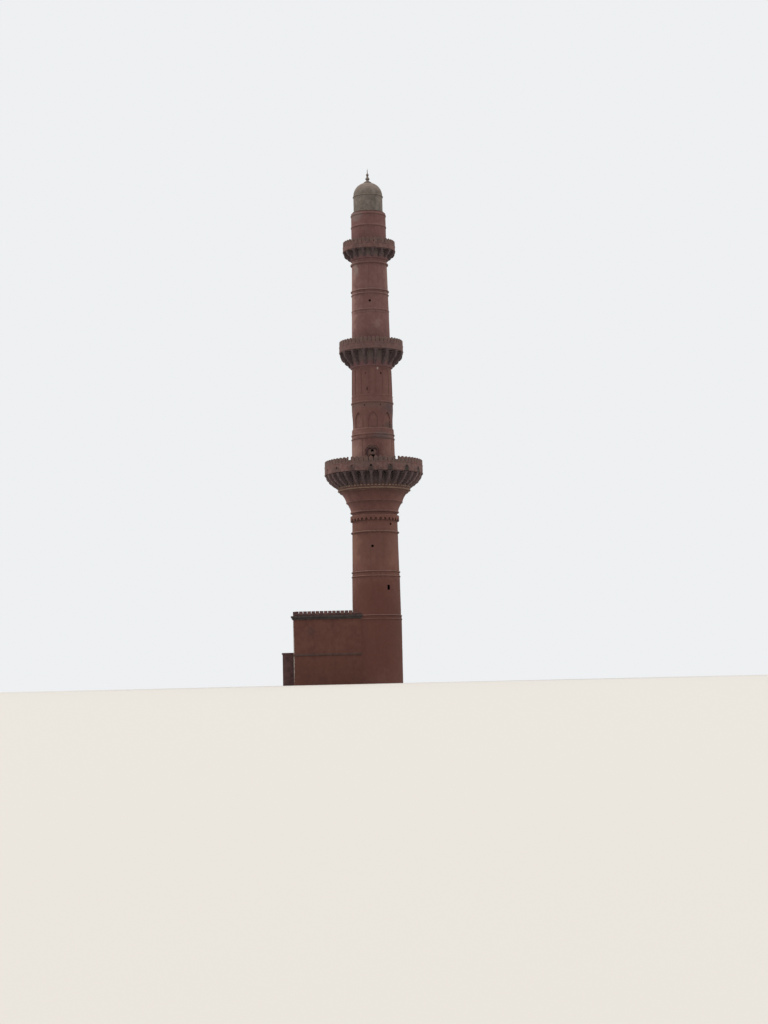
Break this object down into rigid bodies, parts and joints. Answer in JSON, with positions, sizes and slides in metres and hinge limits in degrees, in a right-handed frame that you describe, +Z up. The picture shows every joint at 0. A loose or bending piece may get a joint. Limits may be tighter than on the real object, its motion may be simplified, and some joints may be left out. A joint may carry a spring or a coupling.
{
  "type": "minaret with a small entrance hall, 1:2 scale model",
  "caption": "Tapering round masonry minaret with bracketed galleries, a small dome and a low flat-roofed hall at its foot; hollow, with doorways cut through.",
  "frame": {"origin": "the tower's axis at ground level, on the underside of its ground floor", "axes": "+Z up along the tower's axis; the tower's front, seen in the picture, faces -Y; the hall runs out along -X"},
  "size_m": [8.795, 6.05, 32],
  "materials": {
    "red_plaster": "red-washed lime plaster on masonry, matt, streaked and weathered",
    "hall_plaster": "deep red-washed lime plaster, matt, blotched",
    "bracket_stone": "cut stone with worn red wash, matt, sooty in the recesses",
    "weathered_parapet": "plaster with worn red wash and grey-brown lichen, matt",
    "grey_dome": "grey weathered plaster, matt",
    "floor_stone": "worn flagstone, matt"
  },
  "bodies": {
    "root": {"storey1_front": "red_plaster", "storey1_right": "red_plaster", "storey1_slot_under": "red_plaster", "storey1_slot_over": "red_plaster", "storey1_rear": "red_plaster", "storey1_door_left": "red_plaster", "storey1_door_right": "red_plaster", "storey1_door_over": "red_plaster", "storey1_upper_right": "red_plaster", "storey1_upper_left": "red_plaster", "storey1_upper_over_front": "red_plaster", "storey1_upper_over_rear": "red_plaster", "throat": "bracket_stone", "gallery1_floor": "bracket_stone", "gallery1_wall_front": "weathered_parapet", "gallery1_wall_right": "weathered_parapet", "gallery1_wall_rear": "weathered_parapet", "gallery1_wall_left": "weathered_parapet", "storey2_right": "red_plaster", "storey2_rear": "red_plaster", "storey2_left": "red_plaster", "storey2_door_left": "red_plaster", "storey2_door_right": "red_plaster", "storey2_door_over": "red_plaster", "storey2_upper_front": "red_plaster", "storey2_upper_right": "red_plaster", "storey2_upper_rear": "red_plaster", "storey2_upper_left": "red_plaster", "gallery2_corbels": "bracket_stone", "gallery2_floor": "bracket_stone", "gallery2_wall": "weathered_parapet", "storey3_front": "red_plaster", "storey3_right": "red_plaster", "storey3_left": "red_plaster", "storey3_door_left": "red_plaster", "storey3_door_right": "red_plaster", "storey3_door_over": "red_plaster", "gallery3_corbels": "bracket_stone", "gallery3_floor": "bracket_stone", "gallery3_wall": "weathered_parapet", "storey4_front": "red_plaster", "storey4_right": "red_plaster", "storey4_left": "red_plaster", "storey4_door_left": "red_plaster", "storey4_door_right": "red_plaster", "storey4_door_over": "red_plaster", "dome": "grey_dome", "finial": "grey_dome", "front_wall": "hall_plaster", "rear_wall_far": "hall_plaster", "rear_wall_near": "hall_plaster", "rear_wall_over_door": "hall_plaster", "end_wall": "hall_plaster", "hall_roof": "bracket_stone", "hall_parapet_front": "hall_plaster", "hall_parapet_rear": "hall_plaster", "hall_parapet_end": "hall_plaster", "terrace": "hall_plaster", "hall_floor": "floor_stone", "tower_floor": "floor_stone"}
  },
  "joints": []
}
